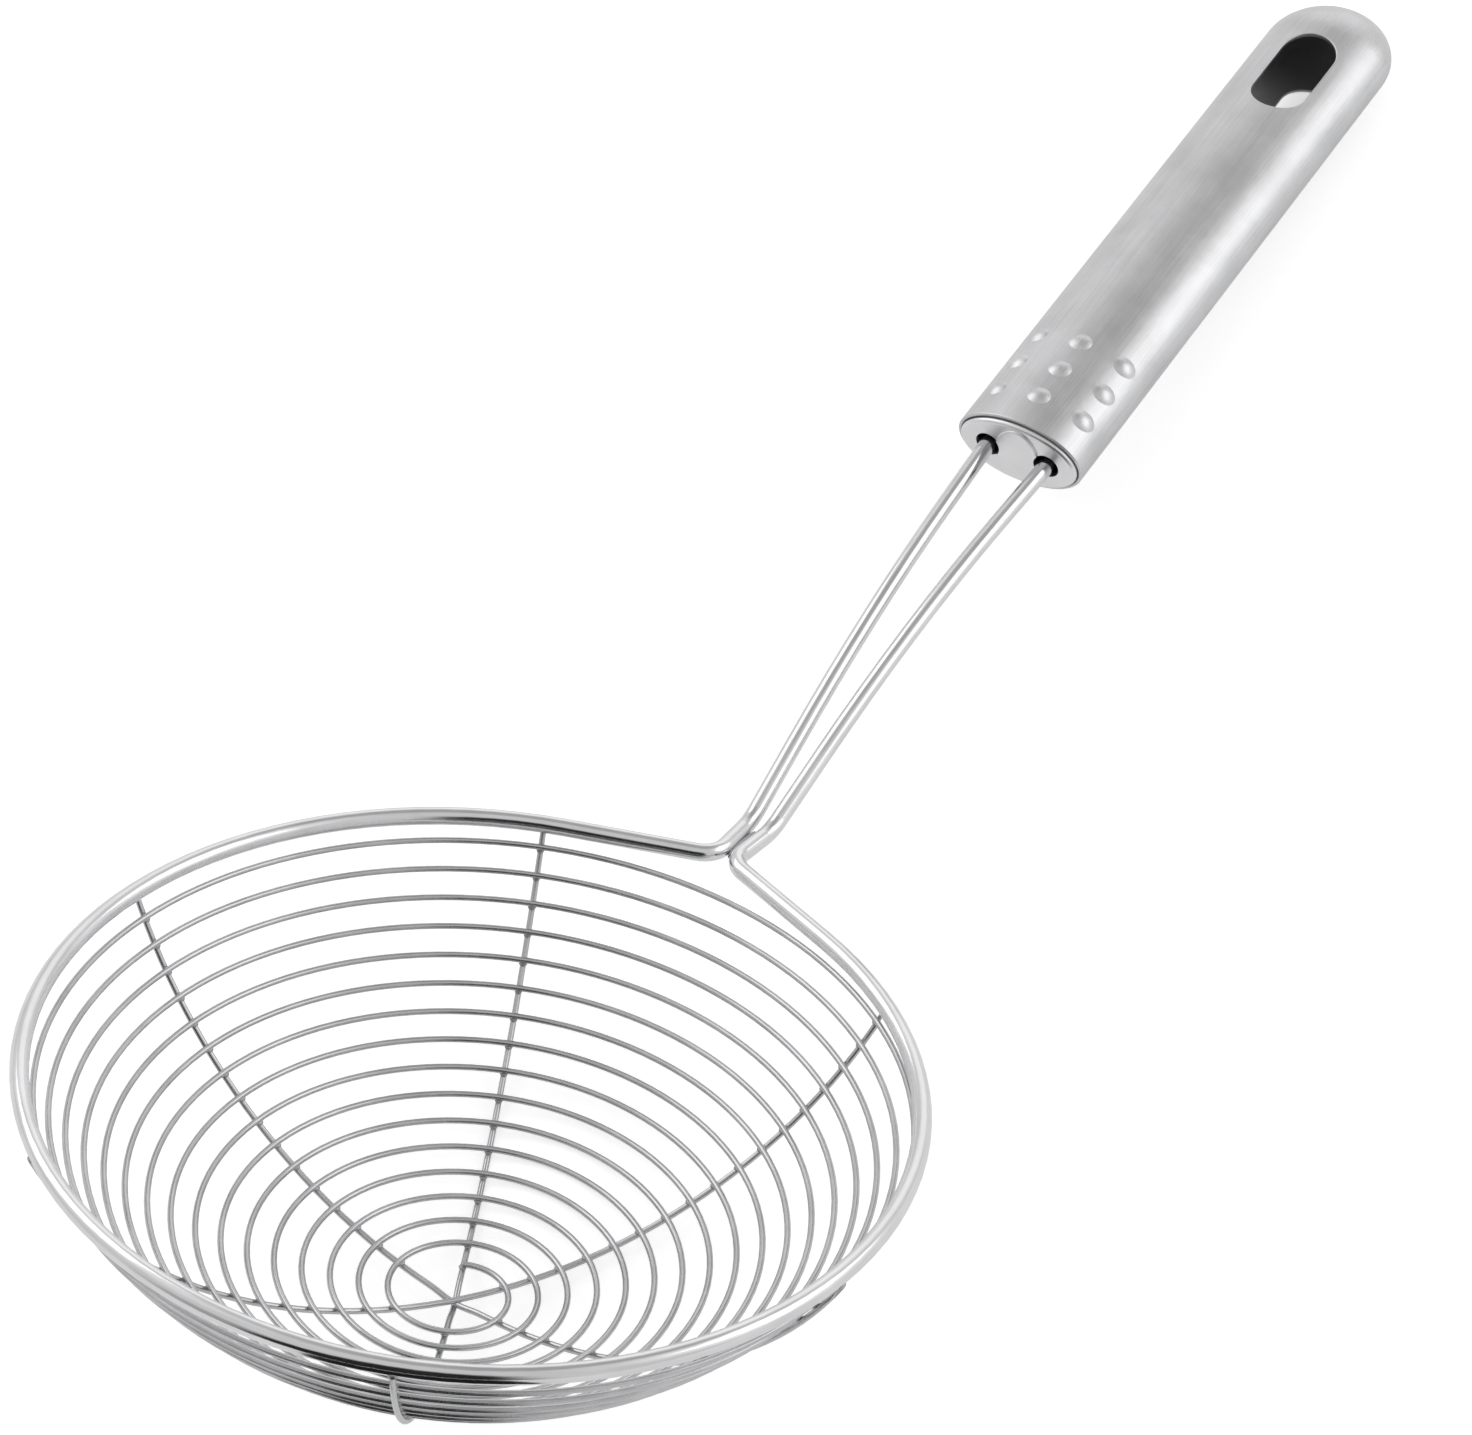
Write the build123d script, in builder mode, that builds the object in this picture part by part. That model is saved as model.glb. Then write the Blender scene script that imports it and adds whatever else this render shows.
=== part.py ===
import os
from math import acos, asin, atan2, ceil, cos, degrees, dist, hypot, pi, radians, sin, sqrt, tan

from build123d import *

# A spider skimmer: a wire basket on a bent rod frame, with a hollow steel handle.
# Millimetres. It lies as it rests on a table, on its basket and on the tail of its handle,
# with +Z up and +X towards the tail. The origin is under the middle of its outline.

# Basket
rim_outer_dia = 160.0
rod_dia = 3.4
wire_dia = 1.15
bowl_depth = 50.5
weld_gap = 0.06
rib_bite = 0.1
spiral_start = 8.3
spiral_turns = 16.4
quarters_per_turn = 4
rib_count = 3
first_rib_angle = 144.3
rib_set = 0.5
rib_dip_run = 6.5

# Neck and legs, each run along the rim's plane from where the one before it ends
apex_run = 5.0
apex_bend_radius = 5.0
neck_run = 13.4
neck_bend_radius = 10.0
leg_rise_angle = 30.2
knee_run = 43.0
leg_bend_radius = 290.0
mouth_run = 48.2
leg_spacing = 13.2

# Handle tube
handle_slope = 17.7
handle_length = 144.4
handle_width = 27.8
handle_height = 16.8
wall = 0.8
lip_radius = 0.3
slot_length = 24.2
slot_width = 11.8
slot_to_tail = 16.3
slot_edge_radius = 0.25
bump_dia = 4.4
bump_height = 0.6
bump_rows = 3
first_bump_row = 8.2
bump_row_pitch = 8.4
bump_column_angle = 45.0

# End cap in the mouth of the handle
cap_proud = 1.0
cap_thickness = 1.2
cap_skirt = 7.5
cap_edge_radius = 0.8
cap_fit = 0.1
leg_hole_dia = 5.4
pad_width = 9.6
pad_margin = 1.0
pad_height = 0.4
pad_edge_radius = 0.25

# Plate inside the handle that holds the ends of the legs
anchor_depth = 24.0
anchor_thickness = 2.0
anchor_fit = 0.1
leg_fit = 0.15
leg_stub = 3.0

# One overrun serves every cut
overrun = 2.0


# Sizes that follow from the ones above

rod_radius = rod_dia / 2
wire_radius = wire_dia / 2
hoop_radius = rim_outer_dia / 2 - rod_radius

# The wires lie on a ball that passes just under the rim: the spiral inside it, the ribs outside.
# The middle lines of the ribs come a bite into the rod, which cuts their ends to its shape.
ball_under_rim = rod_radius - wire_radius - weld_gap / 2 - rib_bite
ball_drop = bowl_depth - ball_under_rim
ball_height = (hoop_radius**2 - ball_drop**2) / (2 * ball_drop)
bowl_radius = ball_height + bowl_depth
spiral_radius = bowl_radius - wire_radius - weld_gap / 2
rib_radius = bowl_radius + wire_radius + weld_gap / 2


def tilt_under_rim(radius, reach):
    """Where a circle around the ball's middle, in a plane through the axis, comes that near the rim."""
    rim_distance = hypot(hoop_radius, ball_height)
    apart = acos((rim_distance**2 + radius**2 - reach**2) / (2 * rim_distance * radius))
    return atan2(hoop_radius, ball_height) - apart


# The spiral's last turn ends against the rim, and the ribs end in it
rib_tilt = tilt_under_rim(rib_radius, rod_radius)
spiral_end = spiral_radius * tilt_under_rim(spiral_radius, rod_radius + wire_radius + weld_gap)
spiral_pitch = (spiral_end - spiral_start) / spiral_turns

# Distances of the legs' bends and of the mouth from the basket's axis, and heights over its rim
apex_reach = hoop_radius + apex_run
neck_reach = apex_reach + neck_run
knee_reach = neck_reach + knee_run
mouth_reach = knee_reach + mouth_run
knee_rise = knee_run * tan(radians(leg_rise_angle))
mouth_rise = knee_rise + mouth_run * tan(radians(handle_slope))

# The legs touch at the apex and spread evenly to their spacing at the mouth
apex_side = rod_radius + weld_gap / 2
leg_spread = (leg_spacing / 2 - apex_side) / (mouth_reach - apex_reach)
leg_end = anchor_depth + anchor_thickness + leg_stub

# The tail is half a flattened ball, as wide and as high as the tube
tail_centre = handle_length - handle_width / 2
tail_reach = mouth_reach + tail_centre * cos(radians(handle_slope))
tail_rise = mouth_rise + tail_centre * sin(radians(handle_slope))


# At rest the basket and the tail both touch the table

def rib_angle(index):
    return first_rib_angle - 180 * index / rib_count


def basket_low(tilt):
    """How far the basket reaches below the middle of its ball."""
    lows = [spiral_radius]
    for index in range(rib_count):
        lean = sin(radians(rib_angle(index))) * sin(tilt)
        lows.append(rib_radius * sqrt(1 - lean**2))
    return max(lows) + wire_radius


def tail_low(tilt):
    """How far the tail reaches below the middle of its ball."""
    lean = radians(handle_slope) - tilt
    return hypot(handle_width / 2 * sin(lean), handle_height / 2 * cos(lean))


def tail_front(tilt):
    """How far the tail reaches beyond the middle of its ball."""
    lean = radians(handle_slope) - tilt
    return hypot(handle_width / 2 * cos(lean), handle_height / 2 * sin(lean))


span = hypot(tail_reach, tail_rise - ball_height)
climb = atan2(tail_rise - ball_height, tail_reach)
rest_tilt = climb
settling_rounds = 8
for _ in range(settling_rounds):
    rest_tilt = climb + asin((basket_low(rest_tilt) - tail_low(rest_tilt)) / span)

back_end = -hoop_radius * cos(rest_tilt) - rod_radius
tail_end = tail_reach * cos(rest_tilt) + tail_rise * sin(rest_tilt) + tail_front(rest_tilt)
bowl = Plane(
    origin=(-(back_end + tail_end) / 2, 0, basket_low(rest_tilt) - ball_height * cos(rest_tilt)),
    x_dir=(cos(rest_tilt), 0, -sin(rest_tilt)),
    z_dir=(sin(rest_tilt), 0, cos(rest_tilt)),
)


def at(x, y, z):
    """A place given in the rim's own plane."""
    return bowl.from_local_coords(Vector(x, y, z))


def way(x, y, z):
    """A direction given in the rim's own plane."""
    return (at(x, y, z) - bowl.origin).normalized()


# The handle's mouth: across, up, and along towards the tail
handle_way = way(cos(radians(handle_slope)), 0, sin(radians(handle_slope)))
mouth = Plane(origin=at(mouth_reach, 0, mouth_rise), x_dir=way(0, 1, 0), z_dir=handle_way)


def biarc(start, start_way, end, end_way):
    """Two tangent arcs from one place and direction to another."""
    chord = end - start
    both = start_way + end_way
    turn = 2 * (1 - start_way.dot(end_way))
    reach = (sqrt(chord.dot(both) ** 2 + turn * chord.dot(chord)) - chord.dot(both)) / turn
    first_corner = start + start_way * reach
    last_corner = end - end_way * reach
    middle = (first_corner + last_corner) * 0.5
    TangentArc(start, middle, tangent=start_way)
    TangentArc(middle, end, tangent=(last_corner - first_corner).normalized())


def sweep_round(path, radius):
    """A round bar along a path."""
    with BuildSketch(Plane(origin=path @ 0, z_dir=path % 0)) as section:
        Circle(radius)
    sweep(section.sketch, path=path)


# Frame rod: one bent rod makes the hoop, the neck and both legs

def leg_side(x):
    return apex_side + leg_spread * (x - apex_reach)


apex_angle = atan2(apex_side, apex_reach)
touch_angle = apex_angle + acos(hoop_radius / hypot(apex_reach, apex_side))
leg_end_reach = mouth_reach + leg_end * cos(radians(handle_slope))
leg_end_rise = mouth_rise + leg_end * sin(radians(handle_slope))
leg_corners = [
    (leg_end_reach, leg_side(leg_end_reach), leg_end_rise),
    (knee_reach, leg_side(knee_reach), knee_rise),
    (neck_reach, leg_side(neck_reach), 0),
    (apex_reach, apex_side, 0),
    (hoop_radius * cos(touch_angle), hoop_radius * sin(touch_angle), 0),
]
leg_radii = [leg_bend_radius, neck_bend_radius, apex_bend_radius]

with BuildPart() as frame_rod:
    with BuildLine() as rod_path:
        left_leg = FilletPolyline(*[at(x, y, z) for x, y, z in leg_corners], radius=leg_radii)
        right_leg = FilletPolyline(*[at(x, -y, z) for x, y, z in leg_corners], radius=leg_radii)
        ThreePointArc(left_leg @ 1, at(-hoop_radius, 0, 0), right_leg @ 1)
    sweep_round(rod_path.wire(), rod_radius)


# Spiral wire: one thin wire wound outwards over the inside of the ball

def spiral_at(turns):
    """Place and direction of the spiral after so many turns, from over the last rib."""
    tilt = (spiral_start + spiral_pitch * turns) / spiral_radius
    swing = radians(rib_angle(rib_count - 1)) - 2 * pi * turns
    out = spiral_radius * sin(tilt)
    place = at(out * cos(swing), out * sin(swing), ball_height - spiral_radius * cos(tilt))
    outward = spiral_pitch * cos(tilt)
    onward = 2 * pi * out
    heading = way(
        outward * cos(swing) + onward * sin(swing),
        outward * sin(swing) - onward * cos(swing),
        spiral_pitch * sin(tilt),
    )
    return place, heading


spiral_steps = ceil(spiral_turns * quarters_per_turn)
spiral_stops = [spiral_at(spiral_turns * step / spiral_steps) for step in range(spiral_steps + 1)]

with BuildPart() as spiral_wire:
    with BuildLine() as spiral_path:
        for (start, start_way), (end, end_way) in zip(spiral_stops, spiral_stops[1:]):
            biarc(start, start_way, end, end_way)
    sweep_round(spiral_path.wire(), wire_radius)


# Ribs: wires right across under the spiral, each lower one pressed up into the one above

def rib_at(index, tilt, drop):
    """Place on a rib, tilted from the bottom and dropped straight down."""
    swing = radians(rib_angle(index))
    out = rib_radius * sin(tilt)
    return at(out * cos(swing), out * sin(swing), ball_height - rib_radius * cos(tilt) - drop)


def rib_way(index, tilt):
    swing = radians(rib_angle(index))
    return way(cos(tilt) * cos(swing), cos(tilt) * sin(swing), sin(tilt))


dip_tilt = asin(rib_dip_run / rib_radius)
ribs = []
for index in range(rib_count):
    drop = index * (wire_dia - rib_set)
    with BuildPart() as rib:
        with BuildLine() as rib_path:
            ThreePointArc(
                rib_at(index, -rib_tilt, 0),
                rib_at(index, -(rib_tilt + dip_tilt) / 2, 0),
                rib_at(index, -dip_tilt, 0),
            )
            biarc(
                rib_at(index, -dip_tilt, 0), rib_way(index, -dip_tilt),
                rib_at(index, 0, drop), rib_way(index, 0),
            )
            biarc(
                rib_at(index, 0, drop), rib_way(index, 0),
                rib_at(index, dip_tilt, 0), rib_way(index, dip_tilt),
            )
            ThreePointArc(
                rib_at(index, dip_tilt, 0),
                rib_at(index, (rib_tilt + dip_tilt) / 2, 0),
                rib_at(index, rib_tilt, 0),
            )
        sweep_round(rib_path.wire(), wire_radius)
        add(frame_rod.part, mode=Mode.SUBTRACT)
        if ribs:
            add(ribs[-1].part, mode=Mode.SUBTRACT)
    ribs.append(rib)


# Handle tube: an oval tube with a rounded, closed tail

def blind_oval(inset, mode):
    """The tube's solid shape, drawn in by an inset, from the mouth to the tail."""
    half_width = handle_width / 2 - inset
    half_height = handle_height / 2 - inset
    with BuildSketch(mouth) as oval:
        Ellipse(half_width, half_height)
    extrude(oval.sketch, amount=tail_centre, mode=mode)
    with BuildSketch(mouth.offset(tail_centre)) as half_oval:
        Ellipse(half_width, half_height)
        Rectangle(half_width, handle_height, align=(Align.MAX, Align.CENTER), mode=Mode.SUBTRACT)
    tail_axis = Axis(mouth.offset(tail_centre).origin, mouth.y_dir)
    revolve(half_oval.sketch, axis=tail_axis, revolution_arc=-180, mode=mode)


def bump_places(sphere_radius):
    """Middles of the balls that form the bumps, in the mouth's plane."""
    places = []
    for row in range(bump_rows):
        for column in (-1, 0, 1):
            swing = radians(column * bump_column_angle)
            across = handle_width / 2 * sin(swing)
            up = handle_height / 2 * cos(swing)
            lean = atan2(handle_height / 2 * sin(swing), handle_width / 2 * cos(swing))
            sink = sphere_radius - bump_height
            places.append((
                across - sink * sin(lean),
                up - sink * cos(lean),
                first_bump_row + row * bump_row_pitch,
            ))
    return places


def on_outer_face(edge):
    """Whether an edge through the tube's wall lies on the outside."""
    middle = mouth.to_local_coords(edge @ 0.5)
    half_width = handle_width / 2 - wall / 2
    half_height = handle_height / 2 - wall / 2
    return hypot(middle.X / half_width, middle.Y / half_height) > 1


bump_radius = ((bump_dia / 2) ** 2 + bump_height**2) / (2 * bump_height)
slot_middle = handle_length - slot_to_tail - slot_length / 2
slot_plane = Plane(
    origin=mouth.from_local_coords(Vector(0, 0, slot_middle)), x_dir=handle_way, z_dir=mouth.y_dir
)

with BuildPart() as handle_tube:
    blind_oval(0, Mode.ADD)
    with Locations(*[mouth.from_local_coords(Vector(*place)) for place in bump_places(bump_radius)]):
        Sphere(bump_radius)
    blind_oval(wall, Mode.SUBTRACT)
    with Locations(*[mouth.from_local_coords(Vector(*place)) for place in bump_places(bump_radius)]):
        Sphere(bump_radius - wall, mode=Mode.SUBTRACT)
    mouth_edges = handle_tube.edges().group_by(Axis(mouth.origin, handle_way))[0]
    fillet(mouth_edges, lip_radius)
    with BuildSketch(slot_plane):
        SlotOverall(slot_length, slot_width)
    extrude(amount=handle_height, both=True, mode=Mode.SUBTRACT)
    fillet(handle_tube.edges(Select.LAST).filter_by(on_outer_face), slot_edge_radius)


# End cap: an oval cup pressed into the mouth and a little proud of it, with two loose holes
# and a raised pad between them

cap_width = handle_width - 2 * (wall + cap_fit)
cap_height = handle_height - 2 * (wall + cap_fit)
cap_plane = mouth.offset(-cap_proud)
cap_hole_reach = mouth_reach - cap_proud * cos(radians(handle_slope))

with BuildPart() as end_cap:
    with BuildSketch(cap_plane):
        Ellipse(cap_width / 2, cap_height / 2)
    extrude(amount=cap_skirt)
    with BuildSketch(cap_plane.offset(cap_thickness)):
        Ellipse(cap_width / 2 - cap_thickness, cap_height / 2 - cap_thickness)
    extrude(amount=cap_skirt, mode=Mode.SUBTRACT)
    front_edges = end_cap.edges().group_by(Axis(mouth.origin, handle_way))[0]
    fillet(front_edges, cap_edge_radius)
    with BuildSketch(cap_plane.offset(-pad_height)):
        Ellipse(pad_width / 2, cap_height / 2 - pad_margin)
    extrude(amount=pad_height + cap_thickness / 2)
    pad_edges = end_cap.edges().group_by(Axis(mouth.origin, handle_way))[0]
    fillet(pad_edges, pad_edge_radius)
    with BuildSketch(cap_plane.offset(-overrun)):
        with Locations((leg_side(cap_hole_reach), 0), (-leg_side(cap_hole_reach), 0)):
            Circle(leg_hole_dia / 2)
    extrude(amount=cap_thickness + 2 * overrun, mode=Mode.SUBTRACT)


# Anchor plate: pressed deep inside the tube, it grips the ends of the legs

anchor_plane = mouth.offset(anchor_depth)
anchor_middle = mouth_reach + (anchor_depth + anchor_thickness / 2) * cos(radians(handle_slope))

with BuildPart() as anchor_plate:
    with BuildSketch(anchor_plane):
        inset = wall + anchor_fit
        Ellipse(handle_width / 2 - inset, handle_height / 2 - inset)
        with Locations((leg_side(anchor_middle), 0), (-leg_side(anchor_middle), 0)):
            Circle(rod_radius + leg_fit, mode=Mode.SUBTRACT)
    extrude(amount=anchor_thickness)


# Each piece is written to its own file

os.makedirs("parts", exist_ok=True)
frame_rod.part.label = "frame_rod"
spiral_wire.part.label = "spiral_wire"
handle_tube.part.label = "handle_tube"
end_cap.part.label = "end_cap"
anchor_plate.part.label = "anchor_plate"
for number, rib in enumerate(ribs, start=1):
    rib.part.label = f"rib_wire_{number}"
for piece in [frame_rod, spiral_wire, *ribs, handle_tube, end_cap, anchor_plate]:
    export_step(piece.part, f"parts/{piece.part.label}.step")


# The spiral's least gap to itself, measured between points on neighbouring turns

points_per_turn = 72
point_count = ceil(spiral_turns * points_per_turn)
points = [spiral_path.wire() @ (step / point_count) for step in range(point_count + 1)]
middle_gap = min(
    (points[first] - points[second]).length
    for first in range(0, point_count, quarters_per_turn)
    for second in range(first + points_per_turn // 2, min(first + 2 * points_per_turn, point_count))
)


print(f"rest tilt {degrees(rest_tilt):.2f} degrees, spiral pitch {spiral_pitch:.3f} mm")
print(f"least gap between the spiral's turns {middle_gap - wire_dia:.2f} mm")
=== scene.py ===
import math

import bmesh
import bpy
from bpy.props import FloatProperty, FloatVectorProperty, IntProperty, PointerProperty
from bpy.types import Operator, Panel, PropertyGroup
from mathutils import Matrix, Vector, noise


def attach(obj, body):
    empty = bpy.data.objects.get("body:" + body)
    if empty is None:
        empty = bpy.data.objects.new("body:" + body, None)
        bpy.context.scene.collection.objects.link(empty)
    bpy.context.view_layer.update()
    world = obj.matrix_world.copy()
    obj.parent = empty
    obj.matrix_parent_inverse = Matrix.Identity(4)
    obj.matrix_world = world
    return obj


bl_info = {
    "name": "Spider Skimmer Dresser",
    "version": (1, 0, 0),
    "blender": (4, 5, 0),
    "location": "View3D > Sidebar > Skimmer",
    "description": "Finishes the steel of a wire skimmer, adds its welds and sets up its studio",
    "category": "Object",
}

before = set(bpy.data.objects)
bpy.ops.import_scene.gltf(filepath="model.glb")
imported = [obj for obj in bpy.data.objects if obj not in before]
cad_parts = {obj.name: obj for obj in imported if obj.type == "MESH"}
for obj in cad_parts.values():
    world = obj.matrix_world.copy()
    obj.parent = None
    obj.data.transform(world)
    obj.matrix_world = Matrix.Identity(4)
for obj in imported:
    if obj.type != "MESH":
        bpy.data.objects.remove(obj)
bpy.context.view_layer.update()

MM = 0.001
BODY = "root"

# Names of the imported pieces
ROD = "frame_rod"
SPIRAL = "spiral_wire"
RIBS = ("rib_wire_1", "rib_wire_2", "rib_wire_3")
HANDLE = "handle_tube"
CAP = "end_cap"
PLATE = "anchor_plate"

# Ways in which the ribs run out from the middle of the basket
SIDES = 2 * len(RIBS)


# Settings that a user would change

class SkimmerBasket(PropertyGroup):
    """Where the basket stands and how its wires run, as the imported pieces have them."""

    middle: FloatVectorProperty(
        name="Rim Middle", description="Middle of the rim, in millimetres",
        size=3, default=(-129.480, 0.0, 53.393),
    )
    tilt: FloatProperty(
        name="Rim Tilt", description="How far the rim leans down towards the handle",
        subtype="ANGLE", default=math.radians(22.401),
    )
    ball_radius: FloatProperty(
        name="Bowl Radius", description="Radius of the ball that the wires touch, in millimetres",
        default=87.669, min=1.0,
    )
    ball_height: FloatProperty(
        name="Bowl Middle Height", description="Middle of that ball over the rim, in millimetres",
        default=37.169,
    )
    hoop_radius: FloatProperty(
        name="Hoop Radius", description="Radius of the hoop's middle line, in millimetres",
        default=78.3, min=1.0,
    )
    rod_radius: FloatProperty(
        name="Rod Radius", description="Radius of the frame rod, in millimetres",
        default=1.7, min=0.1,
    )
    wire_radius: FloatProperty(
        name="Wire Radius", description="Radius of the thin wires, in millimetres",
        default=0.575, min=0.1,
    )
    spiral_start: FloatProperty(
        name="Spiral Start", description="Distance of the spiral's start from the bottom, in millimetres",
        default=8.3, min=0.0,
    )
    spiral_pitch: FloatProperty(
        name="Spiral Pitch", description="Distance between the spiral's turns, in millimetres",
        default=5.3394, min=0.1,
    )
    spiral_turns: FloatProperty(
        name="Spiral Turns", description="Turns of the spiral wire",
        default=16.4, min=1.0,
    )
    start_swing: FloatProperty(
        name="Spiral Start Angle", description="Where the spiral starts, round from the handle's side",
        subtype="ANGLE", default=math.radians(24.3),
    )
    neck_reach: FloatProperty(
        name="Neck Reach", description="Where the legs start to rise, in millimetres from the rim's middle",
        default=96.7, min=1.0,
    )
    apex_reach: FloatProperty(
        name="Apex Reach", description="Where the legs meet beyond the hoop, in millimetres from its middle",
        default=83.3, min=1.0,
    )


class SkimmerHandle(PropertyGroup):
    """Where the handle stands and how large it is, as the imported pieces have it."""

    mouth: FloatVectorProperty(
        name="Mouth Middle", description="Middle of the handle's mouth, in millimetres",
        size=3, default=(59.640, 0.0, 19.145),
    )
    slope: FloatProperty(
        name="Handle Slope", description="How far the handle leans down towards its tail",
        subtype="ANGLE", default=math.radians(4.701),
    )
    length: FloatProperty(
        name="Handle Length", description="Length of the handle, in millimetres",
        default=144.4, min=1.0,
    )
    width: FloatProperty(
        name="Handle Width", description="Width of the handle, in millimetres",
        default=27.8, min=1.0,
    )
    height: FloatProperty(
        name="Handle Height", description="Height of the handle, in millimetres",
        default=16.8, min=1.0,
    )


class SkimmerWelds(PropertyGroup):
    """Sizes and finish of the welds."""

    crossing_width: FloatProperty(
        name="Crossing Weld Width", description="Width of the weld at a crossing, in millimetres",
        default=1.5, min=0.1,
    )
    crossing_height: FloatProperty(
        name="Crossing Weld Height", description="Height of the weld at a crossing, in millimetres",
        default=0.62, min=0.05,
    )
    rim_width: FloatProperty(
        name="Rim Weld Width", description="Width of a weld at the rim, in millimetres",
        default=1.7, min=0.1,
    )
    roughness: FloatProperty(
        name="Weld Roughness", description="Roughness of the weld metal",
        subtype="FACTOR", default=0.42, min=0.0, max=1.0,
    )
    color: FloatVectorProperty(
        name="Weld Colour", description="Colour of the weld metal",
        subtype="COLOR", size=3, default=(0.50, 0.50, 0.50), min=0.0, max=1.0,
    )
    seed: IntProperty(
        name="Seed", description="Changes the unevenness of the welds", default=7,
    )


class SkimmerFinish(PropertyGroup):
    """Colours and gloss of the steel."""

    rod_color: FloatVectorProperty(
        name="Rod Colour", description="Colour of the polished rod",
        subtype="COLOR", size=3, default=(0.77, 0.77, 0.78), min=0.0, max=1.0,
    )
    rod_roughness: FloatProperty(
        name="Rod Roughness", description="Roughness of the polished rod",
        subtype="FACTOR", default=0.13, min=0.0, max=1.0,
    )
    wire_color: FloatVectorProperty(
        name="Wire Colour", description="Colour of the drawn wire",
        subtype="COLOR", size=3, default=(0.58, 0.58, 0.59), min=0.0, max=1.0,
    )
    wire_roughness: FloatProperty(
        name="Wire Roughness", description="Roughness of the drawn wire",
        subtype="FACTOR", default=0.24, min=0.0, max=1.0,
    )
    handle_color: FloatVectorProperty(
        name="Handle Colour", description="Colour of the satin handle",
        subtype="COLOR", size=3, default=(0.68, 0.68, 0.69), min=0.0, max=1.0,
    )
    handle_roughness: FloatProperty(
        name="Handle Roughness", description="Roughness of the satin handle",
        subtype="FACTOR", default=0.34, min=0.0, max=1.0,
    )
    # Painted shade: this darker colour stands in for the shade inside the hollow handle; the higher
    # roughness below is its real unpolished inside.
    inside_shade_color: FloatVectorProperty(
        name="Inside Colour", description="Colour of the unpolished inside of the handle",
        subtype="COLOR", size=3, default=(0.42, 0.42, 0.42), min=0.0, max=1.0,
    )
    inside_roughness: FloatProperty(
        name="Inside Roughness", description="Roughness of the unpolished inside of the handle",
        subtype="FACTOR", default=0.6, min=0.0, max=1.0,
    )
    cap_color: FloatVectorProperty(
        name="Cap Colour", description="Colour of the end cap",
        subtype="COLOR", size=3, default=(0.82, 0.82, 0.83), min=0.0, max=1.0,
    )
    cap_roughness: FloatProperty(
        name="Cap Roughness", description="Roughness of the end cap",
        subtype="FACTOR", default=0.32, min=0.0, max=1.0,
    )
    plate_dulling: FloatProperty(
        name="Plate Dulling", description="How much rougher the plate inside the handle is than the cap",
        subtype="FACTOR", default=0.1, min=0.0, max=1.0,
    )


class SkimmerStudio(PropertyGroup):
    """Floor, lights and camera."""

    floor_color: FloatVectorProperty(
        name="Floor Colour", description="Colour of the plain floor",
        subtype="COLOR", size=3, default=(0.80, 0.80, 0.80), min=0.0, max=1.0,
    )
    floor_glow: FloatProperty(
        name="Floor Glow", description="Light added to the floor where the camera sees it",
        default=0.55, min=0.0,
    )
    floor_mirrored: FloatProperty(
        name="Floor Mirrored", description="Share of that light which the steel reflects",
        subtype="FACTOR", default=0.4, min=0.0, max=1.0,
    )
    floor_size: FloatProperty(
        name="Floor Size", description="Width of the floor",
        unit="LENGTH", default=8.0, min=1.0,
    )
    key_power: FloatProperty(
        name="Key Power", description="Power of the large soft light beyond the handle, in watts",
        default=3.1, min=0.0,
    )
    fill_power: FloatProperty(
        name="Fill Power", description="Power of the soft light on the other side, in watts",
        default=3.6, min=0.0,
    )
    sky_strength: FloatProperty(
        name="Surroundings Strength", description="Brightness of the pale surroundings",
        default=1.0, min=0.0,
    )
    camera_place: FloatVectorProperty(
        name="Camera Place", description="Where the camera stands, in millimetres",
        size=3, default=(-479.11, -357.32, 782.35),
    )
    camera_aim: FloatVectorProperty(
        name="Camera Aim", description="What the camera looks at, in millimetres",
        size=3, default=(-10.247, 25.614, 0.0),
    )
    camera_roll: FloatProperty(
        name="Camera Roll", description="How far the camera leans to its right",
        subtype="ANGLE", default=math.radians(10.075),
    )
    camera_lens: FloatProperty(
        name="Camera Lens", description="Focal length, in millimetres on a sensor 36 wide",
        default=124.03, min=1.0,
    )


# Node building

def add_node(tree, kind, **values):
    """Adds a node, sets its properties and the unlinked inputs that are named."""
    node = tree.nodes.new(kind)
    for name, value in values.items():
        if hasattr(node, name):
            setattr(node, name, value)
        else:
            node.inputs[name.replace("_", " ")].default_value = value
    return node


def maths(tree, operation, first, second=None, third=None):
    """A Math node on numbers or sockets."""
    node = tree.nodes.new("ShaderNodeMath")
    node.operation = operation
    for socket, value in zip(node.inputs, (first, second, third)):
        if isinstance(value, bpy.types.NodeSocket):
            tree.links.new(value, socket)
        elif value is not None:
            socket.default_value = value
    return node.outputs[0]


def new_group(name, inputs, outputs):
    """A new shader node group with its sockets, and its two end nodes."""
    tree = bpy.data.node_groups.new(name, "ShaderNodeTree")
    for label, kind, default in inputs:
        socket = tree.interface.new_socket(label, in_out="INPUT", socket_type=kind)
        if default is not None:
            socket.default_value = default
    for label, kind in outputs:
        tree.interface.new_socket(label, in_out="OUTPUT", socket_type=kind)
    start = tree.nodes.new("NodeGroupInput")
    end = tree.nodes.new("NodeGroupOutput")
    return tree, start, end


def place_group(tree, group, **values):
    """Puts a node group into a material with its own values."""
    node = tree.nodes.new("ShaderNodeGroup")
    node.node_tree = group
    for name, value in values.items():
        socket = node.inputs[name.replace("_", " ")]
        if isinstance(value, bpy.types.NodeSocket):
            tree.links.new(value, socket)
        else:
            socket.default_value = value
    return node


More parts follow.
